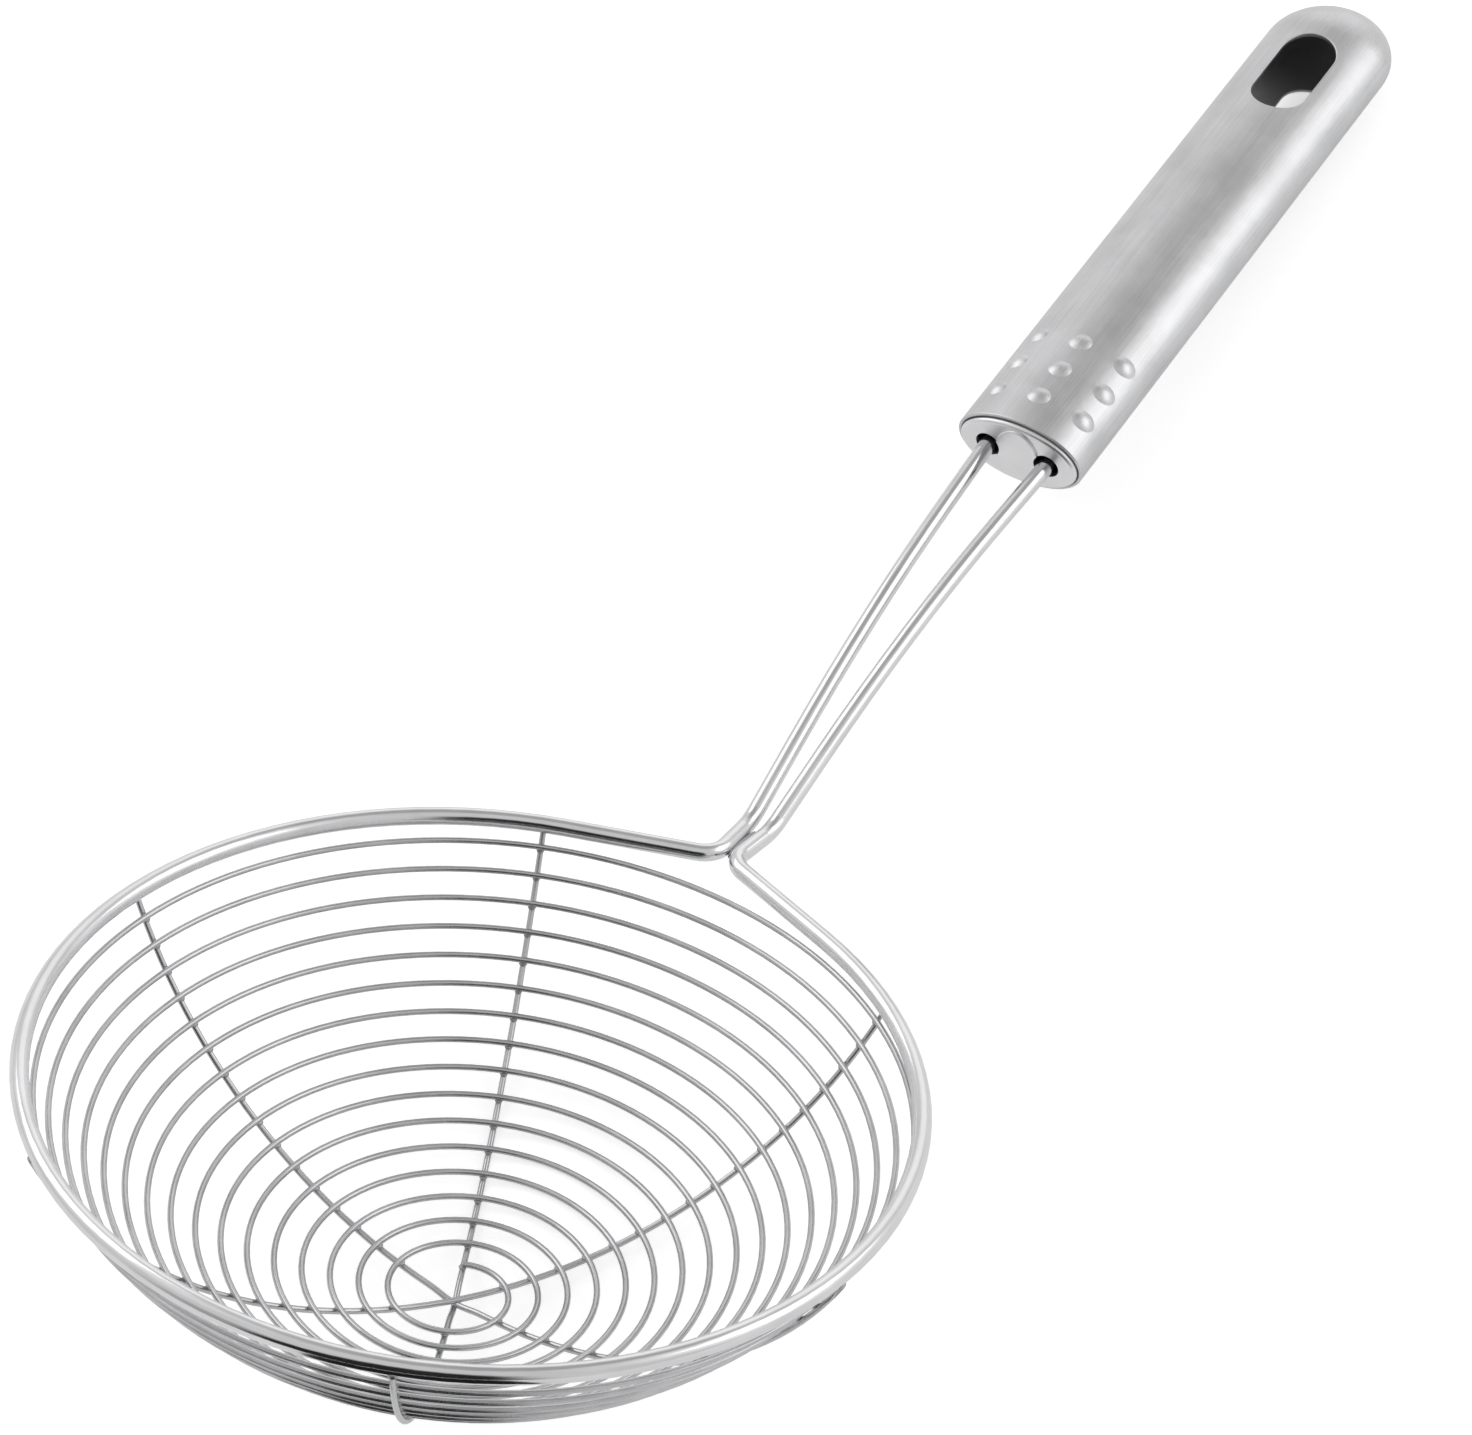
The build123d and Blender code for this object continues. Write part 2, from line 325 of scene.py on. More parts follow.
def ring_grain():
    """Fine lines that run round an axis, as on wire that is drawn and wound."""
    name = "Ring Grain"
    if name in bpy.data.node_groups:
        return bpy.data.node_groups[name]
    tree, start, end = new_group(
        name,
        [
            ("Place", "NodeSocketVector", None),
            ("Fineness", "NodeSocketFloat", 9.0),
            ("Length", "NodeSocketFloat", 0.25),
        ],
        [("Lines", "NodeSocketFloat"), ("Patches", "NodeSocketFloat")],
    )
    basket = bpy.context.scene.skimmer_basket
    home = add_node(tree, "ShaderNodeMapping", vector_type="TEXTURE")
    home.inputs["Location"].default_value = [value * MM for value in basket.middle]
    home.inputs["Rotation"].default_value = (0, basket.tilt, 0)
    home.inputs["Scale"].default_value = (MM, MM, MM)
    tree.links.new(start.outputs["Place"], home.inputs["Vector"])
    parts = tree.nodes.new("ShaderNodeSeparateXYZ")
    tree.links.new(home.outputs["Vector"], parts.inputs[0])
    x, y, z = parts.outputs
    swing = maths(tree, "ARCTAN2", y, x)
    squares = maths(tree, "ADD", maths(tree, "MULTIPLY", x, x), maths(tree, "MULTIPLY", y, y))
    out = maths(tree, "SQRT", squares)
    along = tree.nodes.new("ShaderNodeCombineXYZ")
    around = maths(tree, "MULTIPLY", maths(tree, "MULTIPLY", swing, out), start.outputs["Length"])
    tree.links.new(around, along.inputs[0])
    tree.links.new(maths(tree, "MULTIPLY", out, start.outputs["Fineness"]), along.inputs[1])
    tree.links.new(maths(tree, "MULTIPLY", z, start.outputs["Fineness"]), along.inputs[2])
    lines = add_node(tree, "ShaderNodeTexNoise", Scale=1.0, Detail=3.0, Roughness=0.6)
    tree.links.new(along.outputs[0], lines.inputs["Vector"])
    patches = add_node(tree, "ShaderNodeTexNoise", Scale=0.11, Detail=2.0, Roughness=0.5)
    tree.links.new(home.outputs["Vector"], patches.inputs["Vector"])
    tree.links.new(lines.outputs[0], end.inputs["Lines"])
    tree.links.new(patches.outputs[0], end.inputs["Patches"])
    return tree


def straight_grain():
    """Fine lines that run along a straight piece, as on brushed steel."""
    name = "Straight Grain"
    if name in bpy.data.node_groups:
        return bpy.data.node_groups[name]
    tree, start, end = new_group(
        name,
        [
            ("Place", "NodeSocketVector", None),
            ("Slope", "NodeSocketFloat", 0.0),
            ("Turn", "NodeSocketFloat", 0.0),
            ("Fineness", "NodeSocketFloat", 7.0),
            ("Length", "NodeSocketFloat", 0.06),
        ],
        [("Lines", "NodeSocketFloat"), ("Patches", "NodeSocketFloat")],
    )
    lean = tree.nodes.new("ShaderNodeCombineXYZ")
    tree.links.new(start.outputs["Slope"], lean.inputs[1])
    tree.links.new(start.outputs["Turn"], lean.inputs[2])
    home = add_node(tree, "ShaderNodeMapping", vector_type="TEXTURE")
    home.inputs["Scale"].default_value = (MM, MM, MM)
    tree.links.new(start.outputs["Place"], home.inputs["Vector"])
    tree.links.new(lean.outputs[0], home.inputs["Rotation"])
    stretch = tree.nodes.new("ShaderNodeCombineXYZ")
    tree.links.new(start.outputs["Length"], stretch.inputs[0])
    tree.links.new(start.outputs["Fineness"], stretch.inputs[1])
    tree.links.new(start.outputs["Fineness"], stretch.inputs[2])
    drawn = add_node(tree, "ShaderNodeVectorMath", operation="MULTIPLY")
    tree.links.new(home.outputs["Vector"], drawn.inputs[0])
    tree.links.new(stretch.outputs[0], drawn.inputs[1])
    lines = add_node(tree, "ShaderNodeTexNoise", Scale=1.0, Detail=4.0, Roughness=0.62)
    tree.links.new(drawn.outputs[0], lines.inputs["Vector"])
    patches = add_node(tree, "ShaderNodeTexNoise", Scale=0.085, Detail=3.0, Roughness=0.55)
    tree.links.new(home.outputs["Vector"], patches.inputs["Vector"])
    tree.links.new(lines.outputs[0], end.inputs["Lines"])
    tree.links.new(patches.outputs[0], end.inputs["Patches"])
    return tree


# How far the scratches bend, in millimetres
SCRATCH_BEND = 2.4


def fine_wear():
    """Hairline scratches and wiped smudges, as handled steel has."""
    name = "Fine Wear"
    if name in bpy.data.node_groups:
        return bpy.data.node_groups[name]
    tree, start, end = new_group(
        name,
        [
            ("Place", "NodeSocketVector", None),
            ("Scratches", "NodeSocketFloat", 0.35),
            ("Smudges", "NodeSocketFloat", 0.5),
        ],
        [("Scratch", "NodeSocketFloat"), ("Smudge", "NodeSocketFloat")],
    )
    scaled = add_node(tree, "ShaderNodeVectorMath", operation="SCALE")
    scaled.inputs["Scale"].default_value = 1 / MM
    tree.links.new(start.outputs["Place"], scaled.inputs[0])
    wander = add_node(tree, "ShaderNodeTexNoise", Scale=0.18, Detail=1.0)
    tree.links.new(scaled.outputs[0], wander.inputs["Vector"])
    bent = add_node(tree, "ShaderNodeVectorMath", operation="MULTIPLY_ADD")
    bent.inputs[1].default_value = (SCRATCH_BEND, SCRATCH_BEND, SCRATCH_BEND)
    tree.links.new(wander.outputs["Color"], bent.inputs[0])
    tree.links.new(scaled.outputs[0], bent.inputs[2])
    cells = add_node(tree, "ShaderNodeTexVoronoi", feature="DISTANCE_TO_EDGE", Scale=0.16)
    tree.links.new(bent.outputs[0], cells.inputs["Vector"])
    hair = add_node(tree, "ShaderNodeMapRange", From_Min=0.0, From_Max=0.012, To_Min=1.0, To_Max=0.0)
    tree.links.new(cells.outputs["Distance"], hair.inputs["Value"])
    here = add_node(tree, "ShaderNodeTexNoise", Scale=0.3, Detail=2.0)
    tree.links.new(scaled.outputs[0], here.inputs["Vector"])
    some = add_node(tree, "ShaderNodeMapRange", From_Min=0.5, From_Max=0.62)
    tree.links.new(here.outputs[0], some.inputs["Value"])
    scratch = maths(tree, "MULTIPLY", hair.outputs[0], some.outputs[0])
    tree.links.new(maths(tree, "MULTIPLY", scratch, start.outputs["Scratches"]), end.inputs["Scratch"])
    film = add_node(tree, "ShaderNodeTexNoise", Scale=0.055, Detail=5.0, Roughness=0.62, Distortion=0.6)
    tree.links.new(scaled.outputs[0], film.inputs["Vector"])
    wiped = add_node(tree, "ShaderNodeMapRange", From_Min=0.42, From_Max=0.72)
    tree.links.new(film.outputs[0], wiped.inputs["Value"])
    tree.links.new(maths(tree, "MULTIPLY", wiped.outputs[0], start.outputs["Smudges"]), end.inputs["Smudge"])
    return tree


def hollow_mask():
    """One on the inside of the hollow handle, which gets a duller finish and a darker colour as painted
    shade, and nothing on its outside.
    """
    name = "Hollow Mask"
    if name in bpy.data.node_groups:
        return bpy.data.node_groups[name]
    tree, start, end = new_group(
        name,
        [
            ("Place", "NodeSocketVector", None),
            ("Edge", "NodeSocketFloat", 0.955),
            ("Softness", "NodeSocketFloat", 0.012),
        ],
        [("Inside", "NodeSocketFloat")],
    )
    handle = bpy.context.scene.skimmer_handle
    home = add_node(tree, "ShaderNodeMapping", vector_type="TEXTURE")
    home.inputs["Location"].default_value = [value * MM for value in handle.mouth]
    home.inputs["Rotation"].default_value = (0, handle.slope, 0)
    home.inputs["Scale"].default_value = (MM, MM, MM)
    tree.links.new(start.outputs["Place"], home.inputs["Vector"])
    parts = tree.nodes.new("ShaderNodeSeparateXYZ")
    tree.links.new(home.outputs["Vector"], parts.inputs[0])
    along, across, up = parts.outputs
    beyond = maths(tree, "MAXIMUM", maths(tree, "SUBTRACT", along, handle.length - handle.width / 2), 0.0)
    squares = [
        maths(tree, "POWER", maths(tree, "DIVIDE", maths(tree, "ABSOLUTE", part), half), 2.0)
        for part, half in ((beyond, handle.width / 2), (across, handle.width / 2), (up, handle.height / 2))
    ]
    reach = maths(tree, "SQRT", maths(tree, "ADD", maths(tree, "ADD", squares[0], squares[1]), squares[2]))
    low = maths(tree, "SUBTRACT", start.outputs["Edge"], start.outputs["Softness"])
    high = maths(tree, "ADD", start.outputs["Edge"], start.outputs["Softness"])
    mask = add_node(tree, "ShaderNodeMapRange", To_Min=1.0, To_Max=0.0)
    tree.links.new(reach, mask.inputs["Value"])
    tree.links.new(low, mask.inputs["From Min"])
    tree.links.new(high, mask.inputs["From Max"])
    tree.links.new(mask.outputs[0], end.inputs["Inside"])
    return tree


def new_steel(name, color, roughness, grain, grain_values, wear_values, look):
    """A steel whose lines, patches, scratches and smudges vary its colour, gloss and surface."""
    material = bpy.data.materials.new(name)
    material.use_nodes = True
    tree = material.node_tree
    tree.nodes.clear()
    output = tree.nodes.new("ShaderNodeOutputMaterial")
    shader = tree.nodes.new("ShaderNodeBsdfPrincipled")
    shader.inputs["Metallic"].default_value = 1.0
    tree.links.new(shader.outputs[0], output.inputs["Surface"])
    place = tree.nodes.new("ShaderNodeTexCoord").outputs["Object"]
    lines = place_group(tree, grain, Place=place, **grain_values)
    wear = place_group(tree, fine_wear(), Place=place, **wear_values)

    tint = add_node(tree, "ShaderNodeMix", data_type="RGBA")
    dark = [value * (1 - look["contrast"]) for value in color]
    light = [min(1.0, value * (1 + look["contrast"] / 2)) for value in color]
    tint.inputs["A"].default_value = (*dark, 1)
    tint.inputs["B"].default_value = (*light, 1)
    blend = maths(
        tree, "ADD",
        maths(tree, "MULTIPLY", lines.outputs["Lines"], look["lines_share"]),
        maths(tree, "MULTIPLY", lines.outputs["Patches"], 1 - look["lines_share"]),
    )
    spread = add_node(tree, "ShaderNodeMapRange", From_Min=0.3, From_Max=0.7)
    tree.links.new(blend, spread.inputs["Value"])
    tree.links.new(spread.outputs[0], tint.inputs["Factor"])
    tree.links.new(tint.outputs["Result"], shader.inputs["Base Color"])

    least_rough = roughness - look["rough_spread"] / 2
    rough = maths(tree, "MULTIPLY_ADD", spread.outputs[0], look["rough_spread"], least_rough)
    rough = maths(tree, "MULTIPLY_ADD", wear.outputs["Smudge"], look["smudge_rough"], rough)
    rough = maths(tree, "MULTIPLY_ADD", wear.outputs["Scratch"], look["scratch_rough"], rough)
    tree.links.new(rough, shader.inputs["Roughness"])

    height = maths(tree, "SUBTRACT", lines.outputs["Lines"], wear.outputs["Scratch"])
    bump = add_node(tree, "ShaderNodeBump", Strength=look["bump_strength"], Distance=look["bump_depth"] * MM)
    tree.links.new(height, bump.inputs["Height"])
    tree.links.new(bump.outputs[0], shader.inputs["Normal"])
    return material


def paint_inside_shade(material, color, roughness):
    """Makes the inside of the hollow handle dull, and darkens its colour there as painted shade of the
    hollow.
    """
    tree = material.node_tree
    shader = next(node for node in tree.nodes if node.type == "BSDF_PRINCIPLED")
    place = next(node for node in tree.nodes if node.type == "TEX_COORD").outputs["Object"]
    inside = place_group(tree, hollow_mask(), Place=place).outputs["Inside"]
    outer_color = shader.inputs["Base Color"].links[0].from_socket
    # Painted shade: the colour inside the hollow is mixed towards the darker shade colour.
    shade = add_node(tree, "ShaderNodeMix", data_type="RGBA")
    tree.links.new(inside, shade.inputs["Factor"])
    tree.links.new(outer_color, shade.inputs["A"])
    shade.inputs["B"].default_value = (*color, 1)
    tree.links.new(shade.outputs["Result"], shader.inputs["Base Color"])
    outer_rough = shader.inputs["Roughness"].links[0].from_socket
    dull = add_node(tree, "ShaderNodeMix", data_type="FLOAT")
    tree.links.new(inside, dull.inputs["Factor"])
    tree.links.new(outer_rough, dull.inputs["A"])
    dull.inputs["B"].default_value = roughness
    tree.links.new(dull.outputs["Result"], shader.inputs["Roughness"])


def dress(name, material):
    """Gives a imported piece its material."""
    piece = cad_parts[name]
    piece.data.materials.clear()
    piece.data.materials.append(material)


def new_piece(name, mesh, material):
    """Turns a mesh into a piece of the scene with its material."""
    data = bpy.data.meshes.new(name)
    mesh.to_mesh(data)
    mesh.free()
    data.materials.append(material)
    piece = bpy.data.objects.new(name, data)
    bpy.context.scene.collection.objects.link(piece)
    return piece


# The pieces' finishes

class SKIMMER_OT_finish_rod(Operator):
    """Polish the bent rod of the rim, neck and legs"""

    bl_idname = "skimmer.finish_rod"
    bl_label = "Finish Rod"

    def execute(self, context):
        finish = context.scene.skimmer_finish
        steel = new_steel(
            "polished_rod_steel", finish.rod_color, finish.rod_roughness,
            ring_grain(), {"Fineness": 5.0, "Length": 0.12},
            {"Scratches": 0.3, "Smudges": 0.45},
            {
                "contrast": 0.10, "lines_share": 0.45, "rough_spread": 0.08, "smudge_rough": 0.10,
                "scratch_rough": 0.25, "bump_strength": 0.25, "bump_depth": 0.012,
            },
        )
        dress(ROD, steel)
        return {"FINISHED"}


class SKIMMER_OT_finish_wires(Operator):
    """Finish the spiral wire and the ribs as bright drawn wire"""

    bl_idname = "skimmer.finish_wires"
    bl_label = "Finish Wires"

    def execute(self, context):
        finish = context.scene.skimmer_finish
        basket = context.scene.skimmer_basket
        look = {
            "contrast": 0.22, "lines_share": 0.5, "rough_spread": 0.12, "smudge_rough": 0.12,
            "scratch_rough": 0.2, "bump_strength": 0.35, "bump_depth": 0.012,
        }
        wear = {"Scratches": 0.2, "Smudges": 0.5}
        grain = {"Fineness": 9.0, "Length": 0.2}
        wound = new_steel(
            "drawn_wire_steel", finish.wire_color, finish.wire_roughness, ring_grain(), grain, wear, look,
        )
        dress(SPIRAL, wound)
        for index, name in enumerate(RIBS):
            turn = basket.start_swing + math.pi / len(RIBS) * (len(RIBS) - 1 - index)
            straight = new_steel(
                f"drawn_rib_steel_{index + 1}", finish.wire_color, finish.wire_roughness,
                straight_grain(), {"Slope": 0.0, "Turn": turn, **grain}, wear, look,
            )
            dress(name, straight)
        return {"FINISHED"}


class SKIMMER_OT_finish_handle(Operator):
    """Give the hollow handle its satin lines and handling marks"""

    bl_idname = "skimmer.finish_handle"
    bl_label = "Finish Handle"

    def execute(self, context):
        finish = context.scene.skimmer_finish
        slope = context.scene.skimmer_handle.slope
        satin = new_steel(
            "satin_handle_steel", finish.handle_color, finish.handle_roughness,
            straight_grain(), {"Slope": slope, "Turn": 0.0, "Fineness": 6.0, "Length": 0.05},
            {"Scratches": 0.08, "Smudges": 0.6},
            {
                "contrast": 0.22, "lines_share": 0.6, "rough_spread": 0.12, "smudge_rough": 0.12,
                "scratch_rough": 0.2, "bump_strength": 0.5, "bump_depth": 0.02,
            },
        )
        # Painted shade: the inside of the hollow handle gets a darker colour, as well as a duller finish.
        paint_inside_shade(satin, finish.inside_shade_color, finish.inside_roughness)
        dress(HANDLE, satin)
        return {"FINISHED"}


class SKIMMER_OT_finish_cap(Operator):
    """Finish the end cap and the plate inside the handle"""

    bl_idname = "skimmer.finish_cap"
    bl_label = "Finish Cap"

    def execute(self, context):
        finish = context.scene.skimmer_finish
        sideways = math.radians(90)
        look = {
            "contrast": 0.12, "lines_share": 0.4, "rough_spread": 0.10, "smudge_rough": 0.12,
            "scratch_rough": 0.25, "bump_strength": 0.3, "bump_depth": 0.015,
        }
        pressed = new_steel(
            "pressed_cap_steel", finish.cap_color, finish.cap_roughness,
            straight_grain(), {"Slope": 0.0, "Turn": sideways, "Fineness": 6.0, "Length": 0.1},
            {"Scratches": 0.12, "Smudges": 0.5}, look,
        )
        dress(CAP, pressed)
        plain = new_steel(
            "plain_plate_steel", finish.cap_color, finish.cap_roughness + finish.plate_dulling,
            straight_grain(), {"Slope": 0.0, "Turn": sideways, "Fineness": 4.0, "Length": 0.1},
            {"Scratches": 0.3, "Smudges": 0.6}, look,
        )
        dress(PLATE, plain)
        return {"FINISHED"}


# Welds

# A weld's large and small lumps: how fine they are, how far the seed shifts them, and their share
LUMPS = (
    (2.1, (3.7, 1.3, 0), 1),
    (5.3, (0, 2.1, 4.9), 1 / 3),
)

# A small tilt that shows which way the bowl rises, in radians
TILT_STEP = 0.01

# Crossing welds: how far their widths differ and how finely, their share across, and their lumps
CROSSING_SPREAD = 0.12
CROSSING_FINENESS = 3
CROSSING_ACROSS = 0.9
CROSSING_LUMPS = 0.12

# Rim welds: half sizes as shares of half their width, how far those at the ribs stand from the rod's
# middle line as a share of its radius, and their lumps
RIB_END_SHARES = (1.1, 0.75, 0.62)
SPIRAL_END_SHARES = (1.3, 0.5, 0.6)
ROD_SHARE = 0.96
RIM_LUMPS = 0.14

# Neck weld: its share of the stretch where the legs run together, its lumps, and its two beads: height
# over the rim's plane, half width and half height, in millimetres
NECK_SHARE = 0.72
NECK_LUMPS = 0.10
NECK_BEADS = (
    (-0.15, 0.5, 0.65),
    (-0.8, 0.8, 0.6),
)


def rim_frame():
    """Matrix from the rim's own plane, in millimetres, to the scene."""
    basket = bpy.context.scene.skimmer_basket
    middle = Vector(basket.middle) * MM
    return Matrix.Translation(middle) @ Matrix.Rotation(basket.tilt, 4, "Y") @ Matrix.Scale(MM, 4)


def on_ball(tilt, swing, radius):
    """A place on the bowl's ball, by its tilt from the bottom and its swing round."""
    basket = bpy.context.scene.skimmer_basket
    out = radius * math.sin(tilt)
    return Vector((
        out * math.cos(swing), out * math.sin(swing), basket.ball_height - radius * math.cos(tilt),
    ))


def up_bowl(tilt, swing, radius):
    """The way up the bowl at a place on its ball."""
    return on_ball(tilt + TILT_STEP, swing, radius) - on_ball(tilt, swing, radius)


def add_blob(mesh, place, along, across, sizes, unevenness, seed):
    """An uneven weld blob: three half sizes along, across and up from its place, all in millimetres."""
    up = along.cross(across).normalized()
    across = up.cross(along).normalized()
    turn = Matrix((along.normalized(), across, up)).transposed()
    made = bmesh.ops.create_icosphere(mesh, subdivisions=3, radius=1.0)
    for vertex in made["verts"]:
        lumps = sum(
            share * noise.noise(vertex.co * fineness + Vector([seed * way for way in shift]))
            for fineness, shift, share in LUMPS
        )
        swell = 1 + unevenness * lumps
        local = Vector(size * part * swell for size, part in zip(sizes, vertex.co))
        vertex.co = place + turn @ local


def weld_object(name, mesh):
    """Turns a mesh in the rim's plane into a piece that rides on the skimmer."""
    mesh.transform(rim_frame())
    piece = new_piece(name, mesh, weld_steel())
    piece.data.shade_smooth()
    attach(piece, BODY)


def weld_steel():
    """Dull, slightly pitted weld metal."""
    name = "weld_steel"
    if name in bpy.data.materials:
        return bpy.data.materials[name]
    welds = bpy.context.scene.skimmer_welds
    return new_steel(
        name, welds.color, welds.roughness,
        straight_grain(), {"Fineness": 3.0, "Length": 3.0},
        {"Scratches": 0.0, "Smudges": 0.8},
        {
            "contrast": 0.35, "lines_share": 0.6, "rough_spread": 0.2, "smudge_rough": 0.1,
            "scratch_rough": 0.0, "bump_strength": 0.6, "bump_depth": 0.03,
        },
    )


class SKIMMER_OT_add_crossing_welds(Operator):
    """Weld the spiral to the ribs wherever they cross"""

    bl_idname = "skimmer.add_crossing_welds"
    bl_label = "Add Crossing Welds"

    def execute(self, context):
        basket = context.scene.skimmer_basket
        welds = context.scene.skimmer_welds
        mesh = bmesh.new()
        for step in range(int(basket.spiral_turns * SIDES) + 1):
            swing = basket.start_swing - 2 * math.pi * step / SIDES
            tilt = (basket.spiral_start + basket.spiral_pitch * step / SIDES) / basket.ball_radius
            place = on_ball(tilt, swing, basket.ball_radius)
            outward = up_bowl(tilt, swing, basket.ball_radius)
            onward = Vector((math.sin(swing), -math.cos(swing), 0))
            widening = CROSSING_SPREAD * noise.noise(place * CROSSING_FINENESS)
            half = welds.crossing_width / 2 * (1 + widening)
            sizes = (half, half * CROSSING_ACROSS, welds.crossing_height / 2)
            add_blob(mesh, place, onward, outward, sizes, CROSSING_LUMPS, welds.seed + step)
        weld_object("crossing_welds", mesh)
        return {"FINISHED"}


class SKIMMER_OT_add_rim_welds(Operator):
    """Weld the ribs and the spiral's last turn to the hoop"""

    bl_idname = "skimmer.add_rim_welds"
    bl_label = "Add Rim Welds"

    def execute(self, context):
        basket = context.scene.skimmer_basket
        welds = context.scene.skimmer_welds
        mesh = bmesh.new()
        self.weld_ribs(mesh, basket, welds)
        self.weld_spiral_end(mesh, basket, welds)
        weld_object("rim_welds", mesh)
        return {"FINISHED"}

    def weld_ribs(self, mesh, basket, welds):
        """A weld at both ends of every rib, where it comes up under the hoop."""
        rim_distance = math.hypot(basket.hoop_radius, basket.ball_height)
        rim_tilt = math.atan2(basket.hoop_radius, basket.ball_height)
        outer = basket.ball_radius + basket.wire_radius
        reach = basket.rod_radius * ROD_SHARE
        apart = math.acos((rim_distance**2 + outer**2 - reach**2) / (2 * rim_distance * outer))
        tilt = rim_tilt - apart
        sizes = [welds.rim_width / 2 * share for share in RIB_END_SHARES]
        for side in range(SIDES):
            swing = basket.start_swing + 2 * math.pi * side / SIDES
            place = on_ball(tilt, swing, outer)
            along = up_bowl(tilt, swing, outer)
            onward = Vector((-math.sin(swing), math.cos(swing), 0))
            add_blob(mesh, place, onward, along, sizes, RIM_LUMPS, welds.seed + side)

    def weld_spiral_end(self, mesh, basket, welds):
        """A weld between the end of the spiral's last turn and the hoop beside it."""
        half = welds.rim_width / 2
        inner = basket.ball_radius - basket.wire_radius
        run = basket.spiral_start + basket.spiral_pitch * basket.spiral_turns
        swing = basket.start_swing - 2 * math.pi * basket.spiral_turns
        end = on_ball(run / inner, swing, inner)
        hoop = Vector((math.cos(swing), math.sin(swing), 0)) * basket.hoop_radius
        towards = (hoop - end).normalized()
        onward = Vector((math.sin(swing), -math.cos(swing), 0))
        place = end + towards * basket.wire_radius - onward * half
        sizes = [half * share for share in SPIRAL_END_SHARES]
        add_blob(mesh, place, onward, towards, sizes, RIM_LUMPS, welds.seed + SIDES)


class SKIMMER_OT_add_neck_weld(Operator):
    """Weld the two legs together at the neck"""

    bl_idname = "skimmer.add_neck_weld"
    bl_label = "Add Neck Weld"

    def execute(self, context):
        basket = context.scene.skimmer_basket
        welds = context.scene.skimmer_welds
        middle = (basket.apex_reach + basket.neck_reach) / 2
        half_length = (basket.neck_reach - basket.apex_reach) / 2 * NECK_SHARE
        along = Vector((1, 0, 0))
        across = Vector((0, 1, 0))
        mesh = bmesh.new()
        for height, half_width, half_height in NECK_BEADS:
            place = Vector((middle, 0, height))
            sizes = (half_length, half_width, half_height)
            add_blob(mesh, place, along, across, sizes, NECK_LUMPS, welds.seed)
        weld_object("neck_weld", mesh)
        return {"FINISHED"}


# Stage

# The soft lights: where each hangs, and how wide and high it is, in metres
KEY_PLACE = (1.04, -1.16, 0.92)
KEY_SIZE = (1.4, 1.0)
FILL_PLACE = (0.35, 1.35, 1.1)
FILL_SIZE = (1.2, 1.0)

# Roughness of the floor and the black card, and the card's colour
DULL_ROUGHNESS = 0.9
FLAG_COLOR = (0.02, 0.02, 0.02)

# The card's height, and its near and far edges round the rim's middle: millimetres out, and degrees
FLAG_HEIGHT = 0.5
FLAG_EDGES = (
    (112, (-140, -150, -160, -170, -180)),
    (1500, (-180, -170, -160, -150, -140)),
)

# Brightness of the surroundings, and the least that their patches leave of it
SKY_LEVEL = 0.70
SKY_LEAST = 0.02

# Soft patches on the surroundings: azimuth, elevation, the half angles where each is full and where
# it has faded, all in degrees, and the brightness that it adds
SKY_PATCHES = (
    (-52, 22, 14, 40, 0.32),
    (18, 6, 8, 30, 0.40),
    (8, 56, 8, 30, -0.26),
    (-162, 12, 20, 38, -0.68),
    (-150, 36, 10, 26, -0.64),
    (165, 15, 10, 34, -0.30),
    (75, 40, 12, 40, 0.18),
)

# The camera's sensor width, in millimetres, and how far it sees, in metres
SENSOR_WIDTH = 36.0
SIGHT = 50.0


